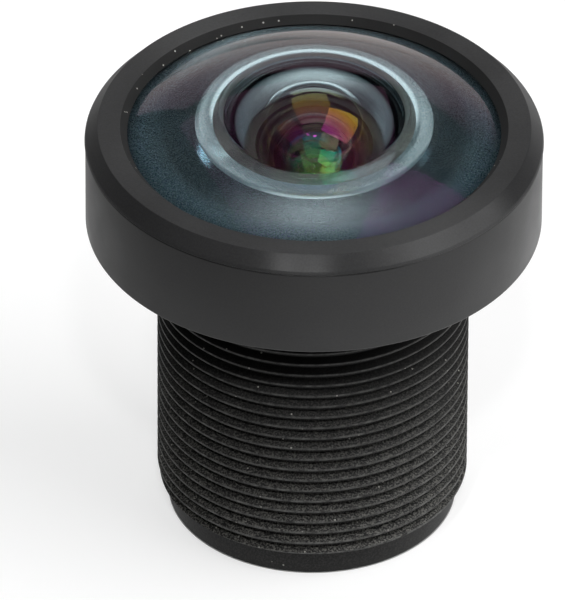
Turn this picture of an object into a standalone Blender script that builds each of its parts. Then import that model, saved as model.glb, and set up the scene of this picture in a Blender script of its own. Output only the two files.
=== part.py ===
"""A wide-angle board lens that screws into an M12 x 0.5 holder.

Everything is turned about +Z. The rear end, which faces the image sensor, stands on z = 0, and
the domed front element looks up. A stack of glass elements, spacers, baffles and a stop is
dropped into the stepped barrel from the front, down to a land near its rear end. A slotted ring
holds the stack, and a larger ring holds the front element over it.
"""

import math

import bmesh
import bpy

# Steps round the axis of the outer pieces and of the sealed inner ones
OUTER_STEPS = 60
INNER_STEPS = 24

# Clearances: round a piece in its bore, and under a piece on its seat or in a cemented pair
BORE_GAP = 0.00005
SEAT_GAP = 0.00002

# Corners smoother than this are shaded as one surface
SMOOTH_ANGLE = math.radians(30)

# Holder thread on the shank. Its helix is fine, so the shank is plain at the crest diameter
THREAD_DIAMETER = 0.01195
THREAD_LEAD_IN = 0.00025
RELIEF_DEPTH = 0.00038
RELIEF_WIDTH = 0.0005

# Pilot: the smooth rear end, a step smaller than the thread
PILOT_STEP = 0.000425
PILOT_DIAMETER = THREAD_DIAMETER - 2 * PILOT_STEP
PILOT_LENGTH = 0.0012
PILOT_CHAMFER = 0.00015

# Rear group of the stack, from the land up. Each element has a flat land round its curved faces
REAR_GROUP_DIAMETER = 0.0080
REAR_GROUP_LAND = 0.0008
REAR_APERTURE = REAR_GROUP_DIAMETER - 2 * REAR_GROUP_LAND
REAR_ELEMENT_EDGE = 0.0012
REAR_BAFFLE_THICKNESS = 0.00006
REAR_BAFFLE_OVERLAP = 0.0003
REAR_BAFFLE_HOLE = REAR_APERTURE - 2 * REAR_BAFFLE_OVERLAP
REAR_SPACER_HEIGHT = 0.0015
FLINT_EDGE = 0.0020
CROWN_EDGE = 0.0009
STOP_SPACER_HEIGHT = 0.0010

# Ledge that carries the stack, and under it the infrared cut filter, glued into the rear end
STACK_LEDGE = 0.0007
REAR_WINDOW_DIAMETER = REAR_GROUP_DIAMETER - 2 * STACK_LEDGE
REAR_LAND = 0.00140
FILTER_LEDGE = 0.0010
FILTER_DIAMETER = REAR_WINDOW_DIAMETER + 2 * FILTER_LEDGE
FILTER_THICKNESS = 0.0003
FILTER_DEPTH = 0.0006

# Middle group of the stack, a step wider in the bore
MIDDLE_BORE_STEP = 0.0005
MIDDLE_GROUP_DIAMETER = REAR_GROUP_DIAMETER + 2 * MIDDLE_BORE_STEP
STOP_THICKNESS = 0.0001
STOP_HOLE = 0.0021
FOURTH_ELEMENT_EDGE = 0.0013
FOURTH_LAND = 0.0014
FOURTH_APERTURE = MIDDLE_GROUP_DIAMETER - 2 * FOURTH_LAND
THIRD_SPACER_HEIGHT = 0.0011
THIRD_ELEMENT_EDGE = 0.0015
THIRD_FRONT_LAND = 0.0018
THIRD_FRONT_APERTURE = MIDDLE_GROUP_DIAMETER - 2 * THIRD_FRONT_LAND
THIRD_BACK_LAND = 0.0019
THIRD_BACK_APERTURE = MIDDLE_GROUP_DIAMETER - 2 * THIRD_BACK_LAND
SECOND_SPACER_HEIGHT = 0.00092
SECOND_SPACER_WALL = 0.0019
SECOND_BACK_APERTURE = MIDDLE_GROUP_DIAMETER - 2 * SECOND_SPACER_WALL

# Second element and the slotted ring that holds the stack down, each a step wider again
SECOND_BORE_STEP = 0.0004
SECOND_ELEMENT_DIAMETER = MIDDLE_GROUP_DIAMETER + 2 * SECOND_BORE_STEP
SECOND_ELEMENT_EDGE = 0.00115
SECOND_FRONT_LAND = 0.0007
SECOND_FRONT_APERTURE = SECOND_ELEMENT_DIAMETER - 2 * SECOND_FRONT_LAND
SECOND_RING_STEP = 0.0005
SECOND_RING_DIAMETER = SECOND_ELEMENT_DIAMETER + 2 * SECOND_RING_STEP
SECOND_RING_OVERLAP = 0.0006
SECOND_RING_HOLE = SECOND_ELEMENT_DIAMETER - 2 * SECOND_RING_OVERLAP
SECOND_RING_HEIGHT = 0.0006
SPANNER_SLOT_WIDTH = 0.0007
SPANNER_SLOT_DEPTH = 0.0003

# How far each curved inner surface rises, or falls, from its rim to the axis
REAR_FRONT_RISE = 0.00077
REAR_BACK_RISE = 0.00043
CROWN_FRONT_RISE = 0.00055
CEMENT_RISE = 0.00116
FLINT_BACK_RISE = 0.00032
FOURTH_FRONT_RISE = 0.00058
THIRD_FRONT_RISE = 0.00069
THIRD_BACK_RISE = 0.00043
SECOND_FRONT_RISE = 0.00140
SECOND_BACK_RISE = 0.00133

# Baffle under the front element, which covers the slotted ring
FRONT_BAFFLE_THICKNESS = 0.00006
FRONT_BAFFLE_OVERLAP = 0.0007
FRONT_BAFFLE_DIAMETER = SECOND_RING_DIAMETER + 2 * FRONT_BAFFLE_OVERLAP
FRONT_BAFFLE_HOLE = SECOND_FRONT_APERTURE

# Front element: a thick meniscus with a deep round pocket behind it
FRONT_FLANGE_WIDTH = 0.00125
FRONT_ELEMENT_DIAMETER = FRONT_BAFFLE_DIAMETER + 2 * FRONT_FLANGE_WIDTH
FRONT_ELEMENT_EDGE = 0.0006
DOME_RISE = 0.00244
POCKET_DIAMETER = 0.00614
POCKET_RISE = 0.00161
POCKET_CHAMFER_WIDTH = 0.00034
POCKET_CHAMFER_HEIGHT = 0.00025
POCKET_LAND_WIDTH = 0.00062
POCKET_LAND_HEIGHT = 0.00009

# Seal ring: a rubber cord under the front element's edge, between the seat and the front ring's skirt
SEAL_INSET = 0.0004
SEAL_DIAMETER = FRONT_ELEMENT_DIAMETER - 2 * SEAL_INSET
SEAL_CORD = 0.0006

# Front ring's skirt, which screws into the head round the front element
SKIRT_WALL = 0.0006
RING_SKIRT_DIAMETER = FRONT_ELEMENT_DIAMETER + 2 * (BORE_GAP + SKIRT_WALL)

# Head: the wide drum that carries the front element
HEAD_WALL = 0.00066
HEAD_DIAMETER = RING_SKIRT_DIAMETER + 2 * (BORE_GAP + HEAD_WALL)
HEAD_CHAMFER = 0.00010
HEAD_SEAT_HEIGHT = 0.00315
HEAD_RISE = 0.00045

# Front ring: flat face, sloping edge, and the lip that holds the front element
RING_OVERHANG = 0.000045
RING_DIAMETER = HEAD_DIAMETER + 2 * RING_OVERHANG
RING_SLOPE_WIDTH = 0.000505
RING_FACE_DIAMETER = RING_DIAMETER - 2 * RING_SLOPE_WIDTH
RING_EDGE_WIDTH = 0.00006
RING_EDGE_HEIGHT = 0.00014
LIP_OVERLAP = 0.00024
LIP_DIAMETER = FRONT_ELEMENT_DIAMETER - 2 * LIP_OVERLAP
LIP_CHAMFER = 0.00028

# Places along the axis, worked out from the rear end up
FILTER_SEAT = FILTER_DEPTH + FILTER_THICKNESS + SEAT_GAP
STACK_LAND = FILTER_SEAT + REAR_LAND
STACK = (
    ("rear_element", REAR_ELEMENT_EDGE),
    ("rear_spacer", REAR_SPACER_HEIGHT),
    ("rear_baffle", REAR_BAFFLE_THICKNESS),
    ("doublet_flint_element", FLINT_EDGE),
    ("doublet_crown_element", CROWN_EDGE),
    ("stop_spacer", STOP_SPACER_HEIGHT),
    ("aperture_stop", STOP_THICKNESS),
    ("fourth_element", FOURTH_ELEMENT_EDGE),
    ("third_spacer", THIRD_SPACER_HEIGHT),
    ("third_element", THIRD_ELEMENT_EDGE),
    ("second_spacer", SECOND_SPACER_HEIGHT),
    ("second_element", SECOND_ELEMENT_EDGE),
    ("second_retaining_ring", SECOND_RING_HEIGHT),
    ("front_baffle", FRONT_BAFFLE_THICKNESS),
)


def stack_places():
    """The height of each stacked piece's underside, with a seat gap under every one."""
    places = {}
    height = STACK_LAND
    for name, thickness in STACK:
        places[name] = height + SEAT_GAP
        height = places[name] + thickness
    return places, height


PLACES, STACK_TOP = stack_places()
FRONT_SEAT = STACK_TOP + SEAT_GAP
FRONT_FLANGE = FRONT_SEAT + SEAT_GAP
SEAL_FLOOR = FRONT_FLANGE - SEAL_CORD - SEAT_GAP * 2
HEAD_UNDERSIDE = FRONT_SEAT - HEAD_SEAT_HEIGHT
HEAD_TOP = FRONT_SEAT + HEAD_RISE


def curve_of(aperture, rise):
    """The radius of the sphere that rises this far over a rim of this diameter."""
    half = aperture / 2
    return (half * half + rise * rise) / (2 * rise)


def sag(curve, radius):
    """How far a sphere of this radius falls away from its top at a distance from the axis."""
    return curve - math.sqrt(curve * curve - radius * radius)


def cap(aperture, rise, rim, bulge, steps):
    """Profile points of a spherical cap from axis to rim, at equal angles. Bulge is 1 up, -1 down."""
    curve = curve_of(aperture, rise)
    widest = 2 * math.atan2(rise, aperture / 2)
    points = []
    for i in range(steps + 1):
        angle = widest * i / steps
        fall = curve * (1 - math.cos(angle))
        points.append((curve * math.sin(angle), rim + bulge * (rise - fall)))
    points[0] = (0.0, rim + bulge * rise)
    return points


def new_material(name, colour, roughness, metallic, transmission=0.0):
    """A plain Principled material."""
    material = bpy.data.materials.new(name)
    material.use_nodes = True
    shader = material.node_tree.nodes["Principled BSDF"]
    shader.inputs["Base Color"].default_value = (*colour, 1.0)
    shader.inputs["Roughness"].default_value = roughness
    shader.inputs["Metallic"].default_value = metallic
    shader.inputs["Transmission Weight"].default_value = transmission
    material.diffuse_color = (*colour, 1.0)
    return material


def turned(name, profile, closed, steps, material, collection):
    """A turned piece: a half section at +X, run down its outer side and spun round Z by a Screw modifier,
    which is then applied so that its corners can be marked sharp."""
    mesh = bpy.data.meshes.new(name)
    section = bmesh.new()
    corners = [section.verts.new((radius, 0.0, height)) for radius, height in profile]
    for first, second in zip(corners, corners[1:]):
        section.edges.new((first, second))
    if closed:
        section.edges.new((corners[-1], corners[0]))
    section.to_mesh(mesh)
    section.free()
    piece = bpy.data.objects.new(name, mesh)
    collection.objects.link(piece)
    screw = piece.modifiers.new("Turn", "SCREW")
    screw.axis = "Z"
    screw.angle = math.tau
    screw.steps = steps
    screw.render_steps = steps
    screw.use_merge_vertices = True
    screw.merge_threshold = 0.0000001
    bpy.context.view_layer.update()
    evaluated = piece.evaluated_get(bpy.context.evaluated_depsgraph_get())
    piece.data = bpy.data.meshes.new_from_object(evaluated)
    piece.data.name = name
    piece.modifiers.clear()
    bpy.data.meshes.remove(mesh)
    piece.data.materials.append(material)
    piece.data.shade_smooth()
    piece.data.set_sharp_from_angle(angle=SMOOTH_ANGLE)
    return piece


def ring(name, outer, hole, height, material, collection):
    """A plain ring that stands on its place in the stack."""
    base = PLACES[name]
    top = base + height
    profile = [(hole / 2, top), (outer / 2, top), (outer / 2, base), (hole / 2, base)]
    return turned(name, profile, True, INNER_STEPS, material, collection)


def lens_element(name, diameter, edge, front, back, material, collection):
    """A glass element with flat lands round its two faces. front and back are (aperture, rise, bulge),
    where bulge is 1 upwards, -1 downwards and 0 for a plane face."""
    base = PLACES[name]
    top = base + edge
    outside = diameter / 2
    profile = []
    if front[2]:
        profile += cap(front[0], front[1], top, front[2], 4)
    else:
        profile.append((0.0, top))
    profile += [(outside, top), (outside, base)]
    if back[2]:
        profile += list(reversed(cap(back[0], back[1], base, back[2], 4)))
    else:
        profile.append((0.0, base))
    return turned(name, profile, False, INNER_STEPS, material, collection)


def conical_spacer(name, diameter, top_hole, bottom_hole, height, material, collection):
    """A spacer whose hole tapers with the cone of light."""
    base = PLACES[name]
    top = base + height
    outside = diameter / 2
    profile = [(top_hole / 2, top), (outside, top), (outside, base), (bottom_hole / 2, base)]
    return turned(name, profile, True, INNER_STEPS, material, collection)


def make_barrel(material, collection):
    """The barrel: pilot, threaded shank, relief and head outside, and the stepped bore inside. The front
    element's seat is a land that stands up inside the channel for the seal and the front ring's skirt."""
    crest = THREAD_DIAMETER / 2
    relief = crest - RELIEF_DEPTH
    pilot = PILOT_DIAMETER / 2
    head = HEAD_DIAMETER / 2
    skirt_bore = RING_SKIRT_DIAMETER / 2 + BORE_GAP
    seal_inside = SEAL_DIAMETER / 2 - SEAL_CORD / 2 - BORE_GAP
    baffle_bore = FRONT_BAFFLE_DIAMETER / 2 + BORE_GAP
    ring_bore = SECOND_RING_DIAMETER / 2 + BORE_GAP
    second_bore = SECOND_ELEMENT_DIAMETER / 2 + BORE_GAP
    middle_bore = MIDDLE_GROUP_DIAMETER / 2 + BORE_GAP
    rear_bore = REAR_GROUP_DIAMETER / 2 + BORE_GAP
    window = REAR_WINDOW_DIAMETER / 2
    filter_bore = FILTER_DIAMETER / 2 + BORE_GAP
    baffle_floor = PLACES["front_baffle"] - SEAT_GAP
    ring_floor = PLACES["second_retaining_ring"] - SEAT_GAP
    second_floor = PLACES["second_element"] - SEAT_GAP
    middle_floor = PLACES["aperture_stop"] - SEAT_GAP
    thread_start = PILOT_LENGTH
    profile = [
        (skirt_bore, HEAD_TOP),
        (head - HEAD_CHAMFER, HEAD_TOP),
        (head, HEAD_TOP - HEAD_CHAMFER),
        (head, HEAD_UNDERSIDE + HEAD_CHAMFER),
        (head - HEAD_CHAMFER, HEAD_UNDERSIDE),
        (relief, HEAD_UNDERSIDE),
        (relief, HEAD_UNDERSIDE - RELIEF_WIDTH),
        (crest, HEAD_UNDERSIDE - RELIEF_WIDTH - RELIEF_DEPTH),
        (crest, thread_start + THREAD_LEAD_IN),
        (pilot, thread_start),
        (pilot, PILOT_CHAMFER),
        (pilot - PILOT_CHAMFER, 0.0),
        (filter_bore, 0.0),
        (filter_bore, FILTER_SEAT),
        (window, FILTER_SEAT),
        (window, STACK_LAND),
        (rear_bore, STACK_LAND),
        (rear_bore, middle_floor),
        (middle_bore, middle_floor),
        (middle_bore, second_floor),
        (second_bore, second_floor),
        (second_bore, ring_floor),
        (ring_bore, ring_floor),
        (ring_bore, baffle_floor),
        (baffle_bore, baffle_floor),
        (baffle_bore, FRONT_SEAT),
        (seal_inside, FRONT_SEAT),
        (seal_inside, SEAL_FLOOR),
        (skirt_bore, SEAL_FLOOR),
    ]
    return turned("lens_barrel", profile, True, OUTER_STEPS, material, collection)


def make_front_element(material, collection):
    """The front element: a dome over a ground flange, hollowed by a deep pocket. Round the pocket lie a
    shallow conical land and a chamfer, both ground."""
    outside = FRONT_ELEMENT_DIAMETER / 2
    shoulder = FRONT_FLANGE + FRONT_ELEMENT_EDGE
    chamfer = POCKET_DIAMETER / 2 + POCKET_CHAMFER_WIDTH
    land_top = FRONT_FLANGE + POCKET_LAND_HEIGHT
    pocket_rim = land_top + POCKET_CHAMFER_HEIGHT
    profile = cap(FRONT_ELEMENT_DIAMETER, DOME_RISE, shoulder, 1, 7)
    profile += [(outside, FRONT_FLANGE), (chamfer + POCKET_LAND_WIDTH, FRONT_FLANGE), (chamfer, land_top)]
    profile += list(reversed(cap(POCKET_DIAMETER, POCKET_RISE, pocket_rim, 1, 6)))
    return turned("front_element", profile, False, OUTER_STEPS, material, collection)


def make_front_ring(material, collection):
    """The front ring: flat rim, sloping edge and lip on top, and a skirt round the front element's edge."""
    rim = RING_DIAMETER / 2
    face = RING_FACE_DIAMETER / 2
    lip = LIP_DIAMETER / 2
    outer_skirt = RING_SKIRT_DIAMETER / 2
    inner_skirt = FRONT_ELEMENT_DIAMETER / 2 + BORE_GAP
    shoulder = FRONT_FLANGE + FRONT_ELEMENT_EDGE + SEAT_GAP
    lip_base = shoulder + DOME_RISE - sag(curve_of(FRONT_ELEMENT_DIAMETER, DOME_RISE), lip) + SEAT_GAP
    top = lip_base + LIP_CHAMFER
    underside = HEAD_TOP + SEAT_GAP
    skirt_end = SEAL_FLOOR + SEAT_GAP
    profile = [
        (lip + LIP_CHAMFER, top),
        (face, top),
        (rim - RING_EDGE_WIDTH, underside + RING_EDGE_HEIGHT),
        (rim, underside),
        (outer_skirt, underside),
        (outer_skirt, skirt_end),
        (inner_skirt, skirt_end),
        (inner_skirt, shoulder),
        (lip, lip_base),
    ]
    return turned("front_retaining_ring", profile, True, OUTER_STEPS, material, collection)


def make_seal(material, collection):
    """The seal ring: a round rubber cord, bent into a ring."""
    middle = FRONT_FLANGE - SEAT_GAP - SEAL_CORD / 2
    sides = 8
    profile = []
    for i in range(sides):
        angle = math.tau * (0.5 - i) / sides
        radius = SEAL_DIAMETER / 2 + SEAL_CORD / 2 * math.cos(angle)
        profile.append((radius, middle + SEAL_CORD / 2 * math.sin(angle)))
    return turned("front_seal_ring", profile, True, INNER_STEPS, material, collection)


def make_second_ring(material, collection, cutters):
    """The ring over the second element, with two slots across its face for a spanner."""
    ring_piece = ring(
        "second_retaining_ring",
        SECOND_RING_DIAMETER,
        SECOND_RING_HOLE,
        SECOND_RING_HEIGHT,
        material,
        collection,
    )
    top = PLACES["second_retaining_ring"] + SECOND_RING_HEIGHT
    cutter_mesh = bpy.data.meshes.new("spanner_slot_cutter")
    block = bmesh.new()
    bmesh.ops.create_cube(block, size=1.0)
    size = (SECOND_RING_DIAMETER * 1.2, SPANNER_SLOT_WIDTH, SPANNER_SLOT_DEPTH * 2)
    bmesh.ops.scale(block, vec=size, verts=block.verts)
    block.to_mesh(cutter_mesh)
    block.free()
    cutter = bpy.data.objects.new("spanner_slot_cutter", cutter_mesh)
    cutter.location = (0.0, 0.0, top)
    cutter.hide_render = True
    cutter.display_type = "WIRE"
    cutters.objects.link(cutter)
    cut = ring_piece.modifiers.new("Spanner slots", "BOOLEAN")
    cut.operation = "DIFFERENCE"
    cut.solver = "EXACT"
    cut.object = cutter
    return ring_piece


def make_filter(material, collection):
    """The infrared cut filter: a thin coated disc in the recess of the rear end."""
    outside = FILTER_DIAMETER / 2
    top = FILTER_SEAT - SEAT_GAP
    base = top - FILTER_THICKNESS
    profile = [(0.0, top), (outside, top), (outside, base), (0.0, base)]
    return turned("infrared_filter", profile, False, INNER_STEPS, material, collection)


def make_elements(glass, collection):
    """The second to the last glass element, each with its seats and curves."""
    lens_element(
        "second_element",
        SECOND_ELEMENT_DIAMETER,
        SECOND_ELEMENT_EDGE,
        (SECOND_FRONT_APERTURE, SECOND_FRONT_RISE, 1),
        (SECOND_BACK_APERTURE, SECOND_BACK_RISE, 1),
        glass,
        collection,
    )
    lens_element(
        "third_element",
        MIDDLE_GROUP_DIAMETER,
        THIRD_ELEMENT_EDGE,
        (THIRD_FRONT_APERTURE, THIRD_FRONT_RISE, 1),
        (THIRD_BACK_APERTURE, THIRD_BACK_RISE, 1),
        glass,
        collection,
    )
    lens_element(
        "fourth_element",
        MIDDLE_GROUP_DIAMETER,
        FOURTH_ELEMENT_EDGE,
        (FOURTH_APERTURE, FOURTH_FRONT_RISE, 1),
        (0.0, 0.0, 0),
        glass,
        collection,
    )
    lens_element(
        "doublet_crown_element",
        REAR_GROUP_DIAMETER,
        CROWN_EDGE,
        (REAR_APERTURE, CROWN_FRONT_RISE, 1),
        (REAR_APERTURE, CEMENT_RISE, -1),
        glass,
        collection,
    )
    lens_element(
        "doublet_flint_element",
        REAR_GROUP_DIAMETER,
        FLINT_EDGE,
        (REAR_APERTURE, CEMENT_RISE, -1),
        (REAR_APERTURE, FLINT_BACK_RISE, 1),
        glass,
        collection,
    )
    lens_element(
        "rear_element",
        REAR_GROUP_DIAMETER,
        REAR_ELEMENT_EDGE,
        (REAR_APERTURE, REAR_FRONT_RISE, 1),
        (REAR_APERTURE, REAR_BACK_RISE, -1),
        glass,
        collection,
    )


def make_spacers(metal, film, collection):
    """The spacers, the baffles and the stop between the glass elements."""
    conical_spacer(
        "second_spacer",
        MIDDLE_GROUP_DIAMETER,
        SECOND_BACK_APERTURE,
        THIRD_FRONT_APERTURE,
        SECOND_SPACER_HEIGHT,
        metal,
        collection,
    )
    conical_spacer(
        "third_spacer",
        MIDDLE_GROUP_DIAMETER,
        THIRD_BACK_APERTURE,
        FOURTH_APERTURE,
        THIRD_SPACER_HEIGHT,
        metal,
        collection,
    )
    conical_spacer(
        "stop_spacer",
        REAR_GROUP_DIAMETER,
        REAR_APERTURE,
        REAR_APERTURE,
        STOP_SPACER_HEIGHT,
        metal,
        collection,
    )
    conical_spacer(
        "rear_spacer",
        REAR_GROUP_DIAMETER,
        REAR_APERTURE,
        REAR_APERTURE,
        REAR_SPACER_HEIGHT,
        metal,
        collection,
    )
    ring("aperture_stop", MIDDLE_GROUP_DIAMETER, STOP_HOLE, STOP_THICKNESS, metal, collection)
    ring("rear_baffle", REAR_GROUP_DIAMETER, REAR_BAFFLE_HOLE, REAR_BAFFLE_THICKNESS, film, collection)
    ring("front_baffle", FRONT_BAFFLE_DIAMETER, FRONT_BAFFLE_HOLE, FRONT_BAFFLE_THICKNESS, film, collection)


def clear_scene():
    """Removes what the scene starts with."""
    for item in list(bpy.data.objects):
        bpy.data.objects.remove(item, do_unlink=True)


def main():
    """Builds the lens, each piece as its own object."""
    clear_scene()
    pieces = bpy.data.collections.new("m12_board_lens")
    cutters = bpy.data.collections.new("cutters")
    for collection in (pieces, cutters):
        bpy.context.scene.collection.children.link(collection)
    anodised = new_material("black_anodised_aluminium", (0.018, 0.018, 0.019), 0.42, 0.6)
    blackened = new_material("blackened_brass", (0.030, 0.029, 0.028), 0.5, 0.5)
    film = new_material("black_polyester_film", (0.012, 0.012, 0.012), 0.7, 0.0)
    rubber = new_material("black_silicone_rubber", (0.015, 0.015, 0.015), 0.8, 0.0)
    front_glass = new_material("coated_front_glass", (0.62, 0.70, 0.74), 0.05, 0.0, 0.8)
    inner_glass = new_material("coated_inner_glass", (0.55, 0.66, 0.56), 0.05, 0.0, 0.8)
    filter_glass = new_material("infrared_cut_glass", (0.45, 0.62, 0.66), 0.05, 0.0, 0.6)
    make_barrel(anodised, pieces)
    make_front_ring(anodised, pieces)
    make_seal(rubber, pieces)
    make_front_element(front_glass, pieces)
    make_second_ring(blackened, pieces, cutters)
    make_elements(inner_glass, pieces)
    make_spacers(blackened, film, pieces)
    make_filter(filter_glass, pieces)


main()
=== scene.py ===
"""Looks of the wide-angle board lens: finely turned metal with a real thread, coated glass that bends the
light, and a plain studio. Profiles are half sections of radius and height in millimetres.
"""

import math

import bmesh
import bpy
import numpy as np
from mathutils import Matrix, Vector


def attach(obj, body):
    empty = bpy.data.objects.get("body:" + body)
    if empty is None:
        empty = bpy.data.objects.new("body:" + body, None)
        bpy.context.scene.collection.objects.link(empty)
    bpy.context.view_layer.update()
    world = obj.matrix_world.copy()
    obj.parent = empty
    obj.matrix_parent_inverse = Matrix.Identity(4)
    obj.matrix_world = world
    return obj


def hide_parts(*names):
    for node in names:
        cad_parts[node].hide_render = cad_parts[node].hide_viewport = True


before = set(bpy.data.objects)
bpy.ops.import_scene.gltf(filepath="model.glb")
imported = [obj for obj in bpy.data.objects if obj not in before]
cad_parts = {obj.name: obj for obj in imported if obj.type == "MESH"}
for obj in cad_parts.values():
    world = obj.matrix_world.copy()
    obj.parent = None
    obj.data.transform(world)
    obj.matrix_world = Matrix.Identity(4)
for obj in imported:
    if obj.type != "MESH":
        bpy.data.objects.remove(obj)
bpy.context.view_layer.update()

MM = 0.001
OUTER_STEPS = 240
INNER_STEPS = 120
CORNER_STEPS = 5
SHARP_CORNER = math.radians(30)

# Heights above the rear end
THREAD_LOW = 0.97
THREAD_HIGH = 12.36
HEAD_UNDERSIDE = 12.86
HEAD_TOP = 16.46
FRONT_SEAT = 16.01
FLANGE = 16.03
LIP_Z = 16.8446
RING_TOP = 17.1246

# Radii
PILOT_R = 5.55
RELIEF_R = 5.595
HEAD_R = 8.71
RIM_R = 8.755
FACE_R = 8.25
LIP_R = 7.11

# The M12 x 0.5 thread: the height of its first root on the +X side sets its phase to the photo's, and its two
# ends are chamfered at these slopes
PITCH = 0.5
CREST_R = 5.975
ROOT_R = 5.675
FIRST_ROOT = 0.17
RUN_IN = 1.6
RUN_OUT = 1.2

# The front element: outside and dome, then the flange, the land that rises inside it, and the pocket
GLASS_R = 7.35
DOME_FOOT = 16.63
DOME_RISE = 2.44
EDGE_BREAK = 0.03
LAND_OUTER_R = 4.03
LAND_INNER_R = 3.41
LAND_RISE = 0.09
POCKET_R = 3.07
POCKET_FOOT = FLANGE + 0.34
POCKET_RISE = 1.61

# White sheet behind the lens: its left and right edges as angles from +Y in radians, its top as the sine of its
# elevation, and its brightness and the room's
SHEET_LEFT = -0.506
SHEET_RIGHT = 0.45
SHEET_TOP = 0.40
SHEET_LEVEL = 1.0
ROOM_LEVEL = 0.02

# The photograph's camera, as fitted to the thread's crests, the rim and the shank: degrees above the level, roll
# in degrees and distance in mm, then its focal length and the picture's place of the origin in pixels
CAMERA_RISE, CAMERA_ROLL, CAMERA_DISTANCE = 37.058, 0.371, 587.7562
FOCAL = 15194.9718
ORIGIN_PIXEL = (311.9317, 485.9444)
PICTURE = (565, 600)


# Geometry


def rounded(corners):
    """Profile points with each corner (radius, height, fillet) replaced by an arc tangent to both its sides."""
    points = []
    count = len(corners)
    for i, (r, z, fillet) in enumerate(corners):
        here = np.array((r, z))
        if fillet <= 0:
            points.append((r, z))
            continue
        before = np.array(corners[i - 1][:2]) - here
        after = np.array(corners[(i + 1) % count][:2]) - here
        a = before / np.linalg.norm(before)
        b = after / np.linalg.norm(after)
        half = math.acos(max(-1.0, min(1.0, float(a @ b)))) / 2
        reach = fillet / math.tan(half)
        limit = 0.45 * min(np.linalg.norm(before), np.linalg.norm(after))
        scale = min(1.0, limit / reach)
        middle = here + (a + b) / np.linalg.norm(a + b) * fillet * scale / math.sin(half)
        start = here + a * reach * scale - middle
        end = here + b * reach * scale - middle
        turn = math.atan2(start[0] * end[1] - start[1] * end[0], start @ end)
        for k in range(CORNER_STEPS):
            angle = turn * k / (CORNER_STEPS - 1)
            c, s = math.cos(angle), math.sin(angle)
            points.append((middle[0] + c * start[0] - s * start[1], middle[1] + s * start[0] + c * start[1]))
    return points


def cap(radius, rise, foot, bulge, steps):
    """Points of a spherical cap from the axis to its foot: the sphere's radius is (radius^2 + rise^2) / 2 rise.
    The bulge is 1 for a cap that rises and -1 for one that sinks."""
    curve = (radius * radius + rise * rise) / (2 * rise)
    widest = 2 * math.atan2(rise, radius)
    angles = np.linspace(0.0, widest, steps + 1)
    r = curve * np.sin(angles)
    z = foot + bulge * (rise - curve * (1 - np.cos(angles)))
    r[0] = 0.0
    return list(zip(r.tolist(), z.tolist()))


def revolve(profile, closed, steps):
    """Turns a half section round Z: profile point (r, z) at angle a lies at (r cos a, r sin a, z). A profile
    point on the axis is one pole, joined by triangles. Returns points, faces and each face's profile side."""
    r, z = np.asarray(profile, float).T
    angles = np.arange(steps) * math.tau / steps
    grid = np.stack([np.outer(r, np.cos(angles)), np.outer(r, np.sin(angles)), np.outer(z, np.ones(steps))], axis=-1)
    pole = r <= 1e-6
    starts = np.cumsum(np.where(pole, 1, steps)) - np.where(pole, 1, steps)
    index = starts[:, None] + np.outer(~pole, np.arange(steps))
    places = grid[(np.arange(steps) == 0) | ~pole[:, None]]
    here = np.arange(len(r) if closed else len(r) - 1)
    after = (here + 1) % len(r)
    a, b = index[here], index[after]
    quads = np.stack([a, b, np.roll(b, -1, axis=1), np.roll(a, -1, axis=1)], axis=-1)
    faces, sides = [], []
    for side, ring in enumerate(quads):
        if pole[side] and pole[after[side]]:
            continue
        corners = [0, 1, 2] if pole[side] else [0, 1, 3] if pole[after[side]] else [0, 1, 2, 3]
        faces += ring[:, corners].tolist()
        sides += [side] * steps
    return places, faces, sides


def finish_mesh(name, places, faces, looks, node, parts=None):
    """Makes a piece from points in millimetres and its faces, shaded smooth except over sharp corners."""
    mesh = bpy.data.meshes.new(name)
    mesh.from_pydata((np.asarray(places) * MM).tolist(), [], faces)
    for look in looks:
        mesh.materials.append(look)
    if parts is not None:
        mesh.polygons.foreach_set("material_index", np.asarray(parts, np.int32))
    mesh.update()
    mesh.shade_smooth()
    mesh.set_sharp_from_angle(angle=SHARP_CORNER)
    piece = bpy.data.objects.new(name, mesh)
    bpy.context.scene.collection.objects.link(piece)
    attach(piece, "root")
    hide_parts(node)
    return mesh


def turned(name, node, profile, closed, look):
    """A finely turned inner piece of one material."""
    places, faces, sides = revolve(profile, closed, INNER_STEPS)
    finish_mesh(name, places, faces, [look], node)


# Materials


def linear(code):
    """An sRGB colour such as "1a1b1c" as linear red, green, blue and alpha."""
    values = [int(code[i : i + 2], 16) / 255 for i in (0, 2, 4)]
    return tuple(v / 12.92 if v <= 0.04045 else ((v + 0.055) / 1.055) ** 2.4 for v in values) + (1.0,)


def add(tree, kind, inputs=None, out=0, **settings):
    """A node of this kind with its settings, and each input either linked to a socket or set to a value. It is
    given back as one of its outputs. Inputs go by number where that is short: a Map Range takes 0 its value, 1
    and 2 the range that comes in, 3 and 4 the one that goes out, and a Mix takes 0 its factor, 6 and 7 its two
    colours, which come out as 2."""
    node = tree.nodes.new("ShaderNode" + kind)
    for key, value in settings.items():
        setattr(node, key, value)
    for key, value in (inputs or {}).items():
        if isinstance(value, bpy.types.NodeSocket):
            tree.links.new(value, node.inputs[key])
        else:
            node.inputs[key].default_value = value
    return node.outputs[out]


def new_material(name, **values):
    """A material and its Principled shader, with constants set on the shader's own sockets."""
    look = bpy.data.materials.new(name)
    look.use_nodes = True
    shader = look.node_tree.nodes["Principled BSDF"]
    for key, value in values.items():
        shader.inputs[key.replace("_", " ")].default_value = value
    return look, look.node_tree, shader


def around_axis(tree):
    """A point's place, its distance from the axis and its height, in metres."""
    place = add(tree, "TexCoord", out="Object")
    flat = add(tree, "VectorMath", {0: place, 1: (1.0, 1.0, 0.0)}, operation="MULTIPLY")
    radius = add(tree, "VectorMath", {0: flat}, out="Value", operation="LENGTH")
    return place, radius, add(tree, "SeparateXYZ", {0: place}, out="Z")


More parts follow.
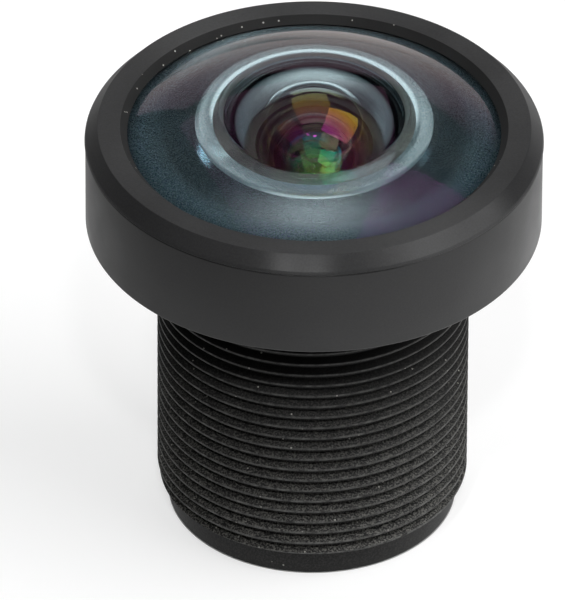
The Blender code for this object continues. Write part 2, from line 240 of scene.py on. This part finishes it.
def anodised_aluminium(name, dark, pale, roughness, grain, specks, marks, anisotropy=0.0, dust_mm=0.42):
    """Black anodised aluminium: a dyed, clear oxide over turned metal. Its fine blasted grain breaks up the
    highlight into a satin sheen, faint turning marks 0.09 mm apart run round it, drawn coarser than a tool
    leaves them, and pale specks of dust lie on it. The grain is drawn 0.07 mm wide, coarser than the real
    blasting, so that it shows. The highlight is spread across the marks."""
    look, tree, shader = new_material(
        name, Metallic=0.0, IOR=1.6, Specular_IOR_Level=0.36, Anisotropic=anisotropy, Anisotropic_Rotation=0.25
    )
    tree.links.new(add(tree, "Tangent", direction_type="RADIAL", axis="Z"), shader.inputs["Tangent"])
    place, radius, height = around_axis(tree)
    section = add(tree, "CombineXYZ", {"X": radius, "Y": height})
    lines = add(tree, "TexNoise", {"Vector": section, "Scale": 1 / (0.09 * MM), "Detail": 2.0, "Roughness": 0.6})
    blast = add(tree, "TexNoise", {"Vector": place, "Scale": 1 / (0.07 * MM), "Detail": 3.0})
    cloud = add(tree, "TexNoise", {"Vector": place, "Scale": 1 / (2.2 * MM), "Detail": 3.0})
    grains = add(tree, "MapRange", {0: blast, 1: 0.3, 2: 0.7})
    tone = add(tree, "Mix", {0: grains, 6: linear(dark), 7: linear(pale)}, out=2, data_type="RGBA")
    dust = add(tree, "TexVoronoi", {"Vector": place, "Scale": 1 / (dust_mm * MM)})
    spot = add(tree, "Math", {0: dust, 1: 0.035 / dust_mm}, operation="LESS_THAN")
    lot = add(tree, "SeparateColor", {0: dust.node.outputs["Color"]})
    chosen = add(tree, "Math", {0: lot, 1: specks}, operation="LESS_THAN")
    speck = add(tree, "Math", {0: spot, 1: chosen}, operation="MULTIPLY")
    dusty = add(tree, "Mix", {0: speck, 6: tone, 7: linear("a09e98")}, out=2, data_type="RGBA")
    tree.links.new(dusty, shader.inputs["Base Color"])
    uneven = add(tree, "MapRange", {0: cloud, 1: 0.3, 2: 0.7, 3: roughness - 0.04, 4: roughness + 0.05})
    tree.links.new(uneven, shader.inputs["Roughness"])
    pitted = add(tree, "Math", {0: blast, 1: grain}, operation="MULTIPLY")
    relief = add(tree, "Math", {0: lines, 1: marks, 2: pitted}, operation="MULTIPLY_ADD")
    bump = add(tree, "Bump", {"Height": relief, "Strength": 1.0, "Distance": 0.002 * MM})
    tree.links.new(bump, shader.inputs["Normal"])
    return look


def worn_thread_and_painted_light(look):
    """Wear, dust and painted light on a thread that has been in and out of holders. Pale grit lies on the flanks
    that face up and on the pilot, dust that also paints the light from above on them. It fades out towards the top
    as a painted shadow of the head, so the top turns are black. The crests are rubbed grey in patches, wear that
    also paints a highlight along them, fading the same way, and dust has gathered along the foot of the last turn."""
    tree = look.node_tree
    shader = tree.nodes["Principled BSDF"]
    shader.inputs["Specular IOR Level"].default_value = 0.2
    clean = shader.inputs["Base Color"].links[0].from_socket
    place, radius, height = around_axis(tree)
    patches = add(tree, "TexNoise", {"Vector": place, "Scale": 1 / (0.3 * MM), "Detail": 5.0, "Roughness": 0.7})
    rubbed = add(tree, "MapRange", {0: patches, 1: 0.36, 2: 0.66})
    # Painted shade: the grit and the rubbing fade out towards the top, for the head's shadow on the upper turns
    out_of_head_shadow = add(tree, "MapRange", {0: height, 1: 1.0 * MM, 2: 10.5 * MM, 3: 1.0, 4: 0.0})

    grains = add(tree, "TexNoise", {"Vector": place, "Scale": 1 / (0.07 * MM), "Detail": 2.0})
    grit = add(tree, "MapRange", {0: grains, 1: 0.44, 2: 0.66})
    grit_and_painted_shade = add(tree, "Math", {0: grit, 1: out_of_head_shadow}, operation="MULTIPLY")
    # The grit goes on flanks that face up: dust, and painted light from above
    up = add(tree, "SeparateXYZ", {0: add(tree, "NewGeometry", out="Normal")}, out="Z")
    level = add(tree, "MapRange", {0: up, 1: 0.1, 2: 0.75, 3: 0.12, 4: 1.0})
    dust_and_painted_light = add(tree, "Math", {0: level, 1: grit_and_painted_shade}, operation="MULTIPLY")
    dusty = add(tree, "Mix", {0: dust_and_painted_light, 6: clean, 7: linear("62615d")}, out=2, data_type="RGBA")

    # The crests are rubbed grey in patches: wear, and a painted highlight along them
    crest = add(tree, "MapRange", {0: radius, 1: (CREST_R - 0.02) * MM, 2: (CREST_R - 0.004) * MM})
    lower = add(tree, "MapRange", {0: out_of_head_shadow, 3: 0.35, 4: 1.0})
    rubbed_and_painted_shade = add(tree, "Math", {0: rubbed, 1: lower}, operation="MULTIPLY")
    crest_wear_and_painted_highlight = add(tree, "Math", {0: rubbed_and_painted_shade, 1: crest}, operation="MULTIPLY")
    wear_and_painted_light = add(tree, "Mix", {0: crest_wear_and_painted_highlight, 6: dusty, 7: linear("666664")}, out=2, data_type="RGBA")

    rise = add(tree, "Math", {0: height, 1: THREAD_LOW * MM}, operation="SUBTRACT")
    below = add(tree, "MapRange", {0: rise, 1: 0.06 * MM, 2: 0.16 * MM, 3: 1.0, 4: 0.0})
    above = add(tree, "MapRange", {0: rise, 1: -0.06 * MM, 2: -0.02 * MM})
    foot = add(tree, "Math", {0: below, 1: above}, operation="MULTIPLY")
    thick = add(tree, "MapRange", {0: rubbed, 3: 0.3, 4: 1.0})
    gathered = add(tree, "Math", {0: thick, 1: foot}, operation="MULTIPLY")
    dirty = add(tree, "Mix", {0: gathered, 6: wear_and_painted_light, 7: linear("b2b0aa")}, out=2, data_type="RGBA")
    tree.links.new(dirty, shader.inputs["Base Color"])
    return look


def coated_glass(name, index, film, film_index, tint="ffffff"):
    """Optical glass under an anti-reflection coating: a thin film, in nanometres, that leaves a dim reflection
    with the colour that it can't stop."""
    look, tree, shader = new_material(
        name,
        Metallic=0.0,
        Roughness=0.0,
        IOR=index,
        Transmission_Weight=1.0,
        Base_Color=linear(tint),
        Thin_Film_Thickness=film,
        Thin_Film_IOR=film_index,
    )
    return look


def broad_coated_glass(name, index, film_index, thin, thick, tint="ffffff"):
    """Optical glass under a broad anti-reflection coating of many layers, which one film stands for: it is made
    thicker towards grazing, so that it ends the reflection straight on and lets a mauve one through there."""
    look = coated_glass(name, index, thin, film_index, tint)
    tree = look.node_tree
    slant = add(tree, "LayerWeight", {"Blend": 0.5}, out="Facing")
    film = add(tree, "MapRange", {0: slant, 1: 0.1, 2: 0.56, 3: thin, 4: thick})
    tree.links.new(film, tree.nodes["Principled BSDF"].inputs["Thin Film Thickness"])
    return look


def ground_glass(name, index, haze, dark, pale, roughness, pits_mm, bump):
    """Ground optical glass, seen from inside the glass. Rays that meet it at a slant are reflected whole, and the
    rest go through, blurred, to the black seat behind, so it turns from silver to near black with the angle.
    The index sets the slant where that turn comes, and is matched to the photo, not the glass's own 1.77: 1.9
    turns at 32 degrees, 1.63 at 38 and 1.5 at 42. The haze is the share that the pits scatter. They are drawn
    coarser than the real few micrometres, so that their coloured speckle shows."""
    look, tree, shader = new_material(
        name, Metallic=0.0, Roughness=roughness, IOR=index, Transmission_Weight=1.0 - haze
    )
    place = add(tree, "TexCoord", out="Object")
    pits = add(tree, "TexNoise", {"Vector": place, "Scale": 1 / (pits_mm * MM), "Detail": 2.0, "Roughness": 0.7})
    depth = add(tree, "MapRange", {0: pits, 1: 0.36, 2: 0.64})
    tone = add(tree, "Mix", {0: depth, 6: linear(dark), 7: linear(pale)}, out=2, data_type="RGBA")
    colours = {0: 0.45, 6: tone, 7: pits.node.outputs["Color"]}
    speckled = add(tree, "Mix", colours, out=2, data_type="RGBA", blend_type="OVERLAY")
    tree.links.new(speckled, shader.inputs["Base Color"])
    relief = add(tree, "Bump", {"Height": pits, "Strength": bump, "Distance": 0.01 * MM})
    tree.links.new(relief, shader.inputs["Normal"])
    return look


def ink_over_and_painted_sheen(look, start, end):
    """Black ink on the back of ground glass: none up to the first radius in mm, nearly covering from the second.
    Where it wets the glass it takes the light that the bare ground surface reflects whole. Its slow fade between the
    two radii is a painted sheen, pale next to the land and dark at the edge."""
    tree = look.node_tree
    shader = tree.nodes["Principled BSDF"]
    place, radius, height = around_axis(tree)
    bare = shader.inputs["Base Color"].links[0].from_socket
    # Painted sheen: the ink fades in slowly from the first radius to the second, so the flange is pale and clear
    # next to the land and dark at the edge
    clear = add(tree, "MapRange", {0: radius, 1: start * MM, 2: end * MM, 3: 0.94, 4: 0.15})
    tree.links.new(clear, shader.inputs["Transmission Weight"])
    ink_fade_and_painted_sheen = add(tree, "MapRange", {0: radius, 1: start * MM, 2: end * MM})
    tone = add(tree, "Mix", {0: ink_fade_and_painted_sheen, 6: bare, 7: linear("161c20")}, out=2, data_type="RGBA")
    tree.links.new(tone, shader.inputs["Base Color"])
    return look


def plain_finish(name, dark, pale, roughness, grain_mm, metallic=0.0):
    """A matte inner finish: its colour varies a little with its grain, which also roughens it."""
    look, tree, shader = new_material(name, Metallic=metallic, IOR=1.5)
    place = add(tree, "TexCoord", out="Object")
    noise = add(tree, "TexNoise", {"Vector": place, "Scale": 1 / (grain_mm * MM), "Detail": 3.0})
    grain = add(tree, "MapRange", {0: noise, 1: 0.3, 2: 0.7})
    tone = add(tree, "Mix", {0: grain, 6: linear(dark), 7: linear(pale)}, out=2, data_type="RGBA")
    tree.links.new(tone, shader.inputs["Base Color"])
    uneven = add(tree, "MapRange", {0: grain, 3: roughness - 0.05, 4: roughness + 0.05})
    tree.links.new(uneven, shader.inputs["Roughness"])
    bump = add(tree, "Bump", {"Height": noise, "Strength": 0.5, "Distance": 0.004 * MM})
    tree.links.new(bump, shader.inputs["Normal"])
    return look


# The head is satin black with a broad soft sheen, the ring a little rougher, its turned face spreading the light all
# round, and its lip is matte and dusty. The thread is the deepest black at the top, under the head, where its grit
# fades out as a painted shadow.
HEAD_LOOK = anodised_aluminium("black_anodised_aluminium", "0a0a0b", "161617", 0.40, 0.8, 0.02, 0.35, 0.3)
RING_LOOK = anodised_aluminium("black_anodised_ring", "121213", "222223", 0.44, 1.0, 0.03, 0.25, 0.9)
LIP_LOOK = anodised_aluminium("matte_black_lip", "040404", "0a0a0a", 0.85, 2.0, 0.3, 0.1, 0.0, 0.2)
# The thread's grit and grey crests fade out towards the top as a painted shadow of the head, and partly paint light
# from above
THREAD_LOOK = worn_thread_and_painted_light(anodised_aluminium("black_anodised_thread", "020202", "090909", 0.5, 1.6, 0.45, 0.2))

# The dome is dense glass of index 1.77 and reflects the room dim and mauve, the pocket below it orange
DOME_LOOK = broad_coated_glass("coated_dome_glass", 1.77, 1.33, 104.0, 130.0, "e2faff")
POCKET_LOOK = coated_glass("coated_pocket_glass", 1.77, 500.0, 1.38)

# The land is a silver band, the chamfer a thin grey ring, and the flange slate with a silver glow at the front,
# and pale next to the land, where the ink's fade paints a sheen
LAND_LOOK = ground_glass("fine_ground_land_glass", 1.9, 0.3, "a4bcc4", "e4f2f4", 0.13, 0.05, 0.1)
CHAMFER_LOOK = ground_glass("ground_chamfer_glass", 1.5, 0.25, "b8b0a8", "e0dad2", 0.12, 0.05, 0.1)
FLANGE_GLASS = ground_glass("ground_flange_glass", 1.63, 0.05, "4a6a7c", "c4dce8", 0.13, 0.06, 0.5)
# The ink's fade from the land outwards is a painted sheen on the flange
FLANGE_LOOK = ink_over_and_painted_sheen(FLANGE_GLASS, 5.2, 7.0)

# The inner elements show as dim mauve, green and dark reflections one behind the other, and the filter as teal
SECOND_LOOK = broad_coated_glass("second_element_glass", 1.6, 1.27, 104.0, 140.0)
GREEN_LOOK = coated_glass("green_coated_glass", 1.7, 390.0, 1.38, "dcf0de")
REAR_LOOK = coated_glass("rear_coated_glass", 1.65, 120.0, 1.38)
FILTER_LOOK = coated_glass("infrared_cut_glass", 1.52, 330.0, 2.2, "cfeef0")

# The rings inside are matte anodised aluminium, the films matte black polyester and the seal dull silicone, and
# all three are there to give no light back
INNER_LOOK = plain_finish("matte_anodised_inner_aluminium", "191919", "2a2a29", 0.5, 0.05, 0.3)
FILM_LOOK = plain_finish("black_polyester_film", "121212", "1c1c1c", 0.65, 0.03)
RUBBER_LOOK = plain_finish("black_silicone_rubber", "131313", "1c1c1c", 0.75, 0.08)


# Pieces


def thread_surface(steps):
    """The threaded shank. A point at angle a and phase p of turn n lies at height z = z0 + pitch (n + p + a / 2 pi),
    held between the two ends, and its radius is the thread form's at p, or the end's chamfer where that is less.
    Returns the radii and heights, a row for each form point of each turn, with the angles and the form's count."""
    form = [
        (0.00, ROOT_R),
        (0.05, ROOT_R + 0.012),
        (0.09, ROOT_R + 0.05),
        (0.28, CREST_R - 0.03),
        (0.32, CREST_R - 0.006),
        (0.36, CREST_R),
        (0.44, CREST_R),
        (0.48, CREST_R - 0.006),
        (0.52, CREST_R - 0.03),
        (0.71, ROOT_R + 0.05),
        (0.75, ROOT_R + 0.012),
        (0.80, ROOT_R),
    ]
    n = len(form)
    turns = int((THREAD_HIGH - FIRST_ROOT) / PITCH) + 1
    row = np.arange(turns * n + 1)
    part, radius = np.array(form)[row % n].T
    phase = row // n + part
    angles = np.arange(steps) * math.tau / steps
    z = FIRST_ROOT + PITCH * (phase[:, None] + angles[None, :] / math.tau)
    z = np.clip(z, THREAD_LOW, THREAD_HIGH)
    chamfer_low = PILOT_R + (z - THREAD_LOW) * RUN_IN
    chamfer_high = RELIEF_R + (THREAD_HIGH - z) * RUN_OUT
    r = np.minimum(radius[:, None], np.minimum(chamfer_low, chamfer_high))
    return r, z, angles, n


def make_barrel():
    """The barrel: the turned outside and bore in one section, and the thread as its shank."""
    r, z, angles, per_turn = thread_surface(OUTER_STEPS)
    rows, steps = r.shape
    places = np.stack([r * np.cos(angles), r * np.sin(angles), z], axis=-1).reshape(-1, 3)
    index = np.arange(rows * steps).reshape(rows, steps)
    next_turn = np.vstack([index[per_turn:, :1], np.full((per_turn, 1), -1)])
    wide = np.hstack([index, next_turn])
    quads = np.stack([wide[:-1, :-1], wide[:-1, 1:], wide[1:, 1:], wide[1:, :-1]], axis=-1).reshape(-1, 4)
    faces = quads[quads.min(axis=1) >= 0].tolist()
    section = rounded(
        [
            # Relief, head, and the bore that takes the front ring's skirt
            (RELIEF_R, THREAD_HIGH, 0),
            (RELIEF_R, HEAD_UNDERSIDE, 0.05),
            (HEAD_R, HEAD_UNDERSIDE, 0.09),
            (HEAD_R, HEAD_TOP, 0.07),
            (8.05, HEAD_TOP, 0.03),
            (8.05, 15.39, 0),
            # Groove of the seal, seat of the front element, and the bore over the second ring
            (6.60, 15.39, 0),
            (6.60, FRONT_SEAT, 0.03),
            (6.15, FRONT_SEAT, 0.02),
            (6.15, 15.91, 0),
            (5.45, 15.91, 0.02),
            (5.45, 15.29, 0),
            # Bores of the second element, the front group and the rear group
            (4.95, 15.29, 0),
            (4.95, 14.12, 0),
            (4.55, 14.12, 0),
            (4.55, 9.10, 0),
            (4.05, 9.10, 0),
            (4.05, 2.32, 0),
            # Rear shoulder, recess of the filter, rear end and pilot
            (3.30, 2.32, 0.02),
            (3.30, 0.92, 0.02),
            (4.35, 0.92, 0),
            (4.35, 0.0, 0.03),
            (PILOT_R, 0.0, 0.12),
            (PILOT_R, THREAD_LOW, 0),
        ]
    )
    more, extra, sides = revolve(section, False, steps)
    turn = (len(places) + np.array(extra)[:, ::-1]).tolist()
    places = np.vstack([places, more])
    # Relief and pilot look like the thread, the rest of the outside and the bore like the head
    corner_r, corner_z = np.array(section)[sides].T
    like_thread = (np.array(sides) == 0) | ((corner_r > 5.0) & (corner_z <= THREAD_LOW))
    parts = np.concatenate([np.ones(len(faces), bool), like_thread])
    looks = [HEAD_LOOK, THREAD_LOOK]
    mesh = finish_mesh("barrel_with_thread", places, faces + turn, looks, "lens_barrel", parts)
    work = bmesh.new()
    work.from_mesh(mesh)
    bmesh.ops.remove_doubles(work, verts=work.verts, dist=1e-7)
    bmesh.ops.dissolve_degenerate(work, edges=work.edges, dist=1e-8)
    bmesh.ops.recalc_face_normals(work, faces=work.faces)
    work.to_mesh(mesh)
    work.free()
    mesh.shade_smooth()
    mesh.set_sharp_from_angle(angle=SHARP_CORNER)


def make_front_ring():
    """The front ring: flat face, sloping edge with a steep foot, dusty lip and skirt, all lightly broken edges."""
    profile = rounded(
        [
            (LIP_R + 0.28, RING_TOP, 0.02),
            (FACE_R, RING_TOP, 0.05),
            (RIM_R - 0.06, 16.62, 0.03),
            (RIM_R, 16.48, 0.03),
            (8.0, 16.48, 0),
            (8.0, 15.41, 0.05),
            (7.40, 15.41, 0.05),
            (7.40, 16.65, 0),
            (LIP_R, LIP_Z, 0),
        ]
    )
    places, faces, sides = revolve(profile, True, OUTER_STEPS)
    parts = np.array(sides) == len(profile) - 1
    looks = [RING_LOOK, LIP_LOOK]
    finish_mesh("front_ring_turned", places, faces, looks, "front_retaining_ring", parts)


def make_front_element():
    """The front element: polished dome, inked flange and edge, ground land and chamfer, and polished pocket."""
    dome = cap(GLASS_R, DOME_RISE, DOME_FOOT, 1, 48)
    back = [
        (GLASS_R, FLANGE + EDGE_BREAK),
        (GLASS_R - EDGE_BREAK, FLANGE),
        (LAND_OUTER_R, FLANGE),
        (LAND_INNER_R, FLANGE + LAND_RISE),
    ]
    pocket = cap(POCKET_R, POCKET_RISE, POCKET_FOOT, 1, 40)
    places, faces, sides = revolve(dome + back + pocket[::-1], False, OUTER_STEPS)
    rim = len(dome) - 1
    parts = np.searchsorted([rim, rim + 3, rim + 4, rim + 5], sides, side="right")
    looks = [DOME_LOOK, FLANGE_LOOK, LAND_LOOK, CHAMFER_LOOK, POCKET_LOOK]
    finish_mesh("front_element_glass", places, faces, looks, "front_element", parts)


def make_element(name, node, outside, base, edge, front, back, look):
    """A glass element: front and back are (aperture radius, rise, bulge), and flat where they are None."""
    top = base + edge
    profile = cap(front[0], front[1], top, front[2], 24) if front else [(0.0, top)]
    profile += [
        (outside - EDGE_BREAK, top),
        (outside, top - EDGE_BREAK),
        (outside, base + EDGE_BREAK),
        (outside - EDGE_BREAK, base),
    ]
    profile += cap(back[0], back[1], base, back[2], 24)[::-1] if back else [(0.0, base)]
    turned(name, node, profile, False, look)


def make_ring(name, node, outside, base, top, upper_hole, lower_hole, look, slot):
    """A ring with a straight or tapered hole and lightly broken edges."""
    soft = min(EDGE_BREAK, (top - base) * 0.3)
    corners = [(upper_hole, top), (outside, top), (outside, base), (lower_hole, base)]
    turned(name, node, rounded([(r, z, soft) for r, z in corners]), True, look)


def make_filter():
    """The infrared cut filter: a thin disc with lightly broken edges."""
    top, base, outside = 0.90, 0.60, 4.30
    profile = [(0.0, top), (outside - EDGE_BREAK, top), (outside, top - EDGE_BREAK)]
    profile += [(outside, base + EDGE_BREAK), (outside - EDGE_BREAK, base), (0.0, base)]
    turned("filter_glass_disc", "infrared_filter", profile, False, FILTER_LOOK)


make_barrel()
make_front_ring()
make_front_element()

# Name, node, outside radius, base height, edge thickness, front and back curve, look
for row in (
    ("second_glass", "second_element", 4.90, 14.14, 1.15, (4.20, 1.40, 1), (2.60, 1.33, 1), SECOND_LOOK),
    ("third_glass", "third_element", 4.50, 11.68, 1.50, (2.70, 0.69, 1), (2.60, 0.43, 1), GREEN_LOOK),
    ("fourth_glass", "fourth_element", 4.50, 9.24, 1.30, (3.10, 0.58, 1), None, GREEN_LOOK),
    ("crown_glass", "doublet_crown_element", 4.00, 7.18, 0.90, (3.20, 0.55, 1), (3.20, 1.16, -1), REAR_LOOK),
    ("flint_glass", "doublet_flint_element", 4.00, 5.16, 2.00, (3.20, 1.16, -1), (3.20, 0.32, 1), REAR_LOOK),
    ("rear_glass", "rear_element", 4.00, 2.34, 1.20, (3.20, 0.77, 1), (3.20, 0.43, -1), REAR_LOOK),
):
    make_element(*row)

# Name, node, outside radius, base and top height, upper and lower hole radius, look, slot
for row in (
    ("second_spacer_turned", "second_spacer", 4.50, 13.20, 14.12, 2.60, 2.70, INNER_LOOK, "inner_ring_finish"),
    ("third_spacer_turned", "third_spacer", 4.50, 10.56, 11.66, 2.60, 3.10, INNER_LOOK, "inner_ring_finish"),
    ("front_baffle_film", "front_baffle", 6.10, 15.93, 15.99, 4.20, 4.20, FILM_LOOK, "baffle_film"),
    ("aperture_stop_disc", "aperture_stop", 4.50, 9.12, 9.22, 1.05, 1.05, INNER_LOOK, "inner_ring_finish"),
):
    make_ring(*row)
make_filter()

for node, look in (
    ("front_seal_ring", RUBBER_LOOK),
    ("second_retaining_ring", INNER_LOOK),
    ("stop_spacer", INNER_LOOK),
    ("rear_spacer", INNER_LOOK),
    ("rear_baffle", FILM_LOOK),
):
    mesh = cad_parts[node].data
    mesh.materials.clear()
    mesh.materials.append(look)


# Studio


def panel(name, azimuth, elevation, distance, size, level):
    """A softbox seen from the lens at an azimuth and elevation in degrees. Its level is its brightness, where 1
    is the backdrop's white: an area lamp of area A and brightness L gives off pi A L."""
    data = bpy.data.lights.new(name, "AREA")
    data.shape = "RECTANGLE"
    data.size, data.size_y = size[0] * MM, size[1] * MM
    data.energy = math.pi * data.size * data.size_y * level
    turn, rise = math.radians(azimuth), math.radians(elevation)
    away = Vector((math.cos(rise) * math.cos(turn), math.cos(rise) * math.sin(turn), math.sin(rise)))
    lamp = bpy.data.objects.new(name, data)
    lamp.location = (away * distance + Vector((0.0, 0.0, HEAD_TOP))) * MM
    lamp.rotation_euler = (-away).to_track_quat("-Z", "Y").to_euler()
    bpy.context.scene.collection.objects.link(lamp)


def make_floor():
    """A pale floor that shows white to the camera and keeps the lens's shadow. Metal and glass see it white as
    well, less so on the left, where the studio is dark, and not at all under the lens."""
    mesh = bpy.data.meshes.new("floor")
    side = 0.6
    mesh.from_pydata([(-side, -side, 0), (side, -side, 0), (side, side, 0), (-side, side, 0)], [], [(0, 1, 2, 3)])
    floor = bpy.data.objects.new("floor", mesh)
    bpy.context.scene.collection.objects.link(floor)
    look, tree, shader = new_material(
        "white_table", Roughness=0.9, Base_Color=linear("b4b4b4"), Emission_Color=linear("c8c8c8")
    )
    place, radius, height = around_axis(tree)
    across = add(tree, "SeparateXYZ", {0: place}, out="X")
    rays = add(tree, "LightPath").node.outputs
    shiny = add(tree, "Math", {0: rays["Is Glossy Ray"], 1: rays["Is Transmission Ray"]}, operation="MAXIMUM")
    dimmed = add(tree, "MapRange", {0: across, 1: -24 * MM, 2: 6 * MM, 3: 0.2, 4: 1.0})
    mirrored = add(tree, "Math", {0: shiny, 1: dimmed}, operation="MULTIPLY")
    seen = add(tree, "Math", {0: mirrored, 1: rays["Is Camera Ray"]}, operation="MAXIMUM")
    open_floor = add(tree, "Math", {0: radius, 1: PILOT_R * MM}, operation="GREATER_THAN")
    glow = add(tree, "Math", {0: seen, 1: open_floor}, operation="MULTIPLY")
    tree.links.new(glow, shader.inputs["Emission Strength"])
    mesh.materials.append(look)


def make_world():
    """A white sheet hung behind the lens in a dim room. To the camera the whole background is white."""
    world = bpy.data.worlds.new("studio")
    bpy.context.scene.world = world
    world.use_nodes = True
    tree = world.node_tree
    rays = add(tree, "LightPath").node.outputs
    towards = add(tree, "SeparateXYZ", {0: add(tree, "TexCoord", out="Generated")}).node.outputs
    azimuth = add(tree, "Math", {0: towards["X"], 1: towards["Y"]}, operation="ARCTAN2")
    left = add(tree, "MapRange", {0: azimuth, 1: SHEET_LEFT - 0.01, 2: SHEET_LEFT})
    right = add(tree, "MapRange", {0: azimuth, 1: SHEET_RIGHT, 2: SHEET_RIGHT + 0.3, 3: 1.0, 4: 0.0})
    top = add(tree, "MapRange", {0: towards["Z"], 1: SHEET_TOP, 2: SHEET_TOP + 0.04, 3: 1.0, 4: 0.0})
    width = add(tree, "Math", {0: left, 1: right}, operation="MULTIPLY")
    sheet = add(tree, "Math", {0: width, 1: top}, operation="MULTIPLY")
    shiny = add(tree, "Math", {0: rays["Is Glossy Ray"], 1: rays["Is Transmission Ray"]}, operation="MAXIMUM")
    shown = add(tree, "Math", {0: sheet, 1: shiny}, operation="MULTIPLY")
    light = add(tree, "MapRange", {0: shown, 3: ROOM_LEVEL, 4: SHEET_LEVEL})
    total = add(tree, "Math", {0: light, 1: rays["Is Camera Ray"]}, operation="MAXIMUM")
    paper = tree.nodes["Background"].inputs
    paper["Color"].default_value = linear("ffffff")
    tree.links.new(total, paper["Strength"])


def make_camera():
    """The photograph's view: a long lens from 588 mm off and 37 degrees up, rolled by a third of a degree and
    turned so that the origin falls on its pixel."""
    rise, roll = math.radians(CAMERA_RISE), math.radians(CAMERA_ROLL)
    back = Vector((0, -math.cos(rise), math.sin(rise)))
    up = Vector((0, math.sin(rise), math.cos(rise)))
    right = Vector((1, 0, 0))
    c, s = math.cos(roll), math.sin(roll)
    dx, dy = PICTURE[0] / 2 - ORIGIN_PIXEL[0], PICTURE[1] / 2 - ORIGIN_PIXEL[1]
    across, down = c * dx + s * dy, -s * dx + c * dy
    ahead = (right * (across / FOCAL) - up * (down / FOCAL) - back).normalized()
    top = c * up - s * right
    side = top.cross(-ahead).normalized()
    top = (-ahead).cross(side)
    data = bpy.data.cameras.new("photo_camera")
    data.sensor_width = 36
    data.lens = data.sensor_width * FOCAL / max(PICTURE)
    data.clip_start, data.clip_end = 0.01, 10
    camera = bpy.data.objects.new("photo_camera", data)
    turn = Matrix((side, top, -ahead)).transposed().to_4x4()
    camera.matrix_world = Matrix.Translation(back * CAMERA_DISTANCE * MM) @ turn
    bpy.context.scene.collection.objects.link(camera)
    bpy.context.scene.camera = camera


# Azimuth, elevation, distance and size in mm, level. The right one gives the head's bright side, the overhead one
# the sheen at the back of the dome, the left one a dim edge light, and the two small ones the front's highlights
panel("right_softbox", -14, 43, 400, (410, 440), 3.2)
panel("overhead_softbox", 100, 68, 420, (430, 600), 0.9)
panel("left_softbox", -145, 42, 400, (320, 245), 0.5)
panel("front_lamp_left", -106, 52, 420, (26, 26), 150.0)
panel("front_lamp_right", -88, 50, 420, (26, 26), 150.0)
make_floor()
make_world()
make_camera()
bpy.context.scene.view_settings.view_transform = "Standard"
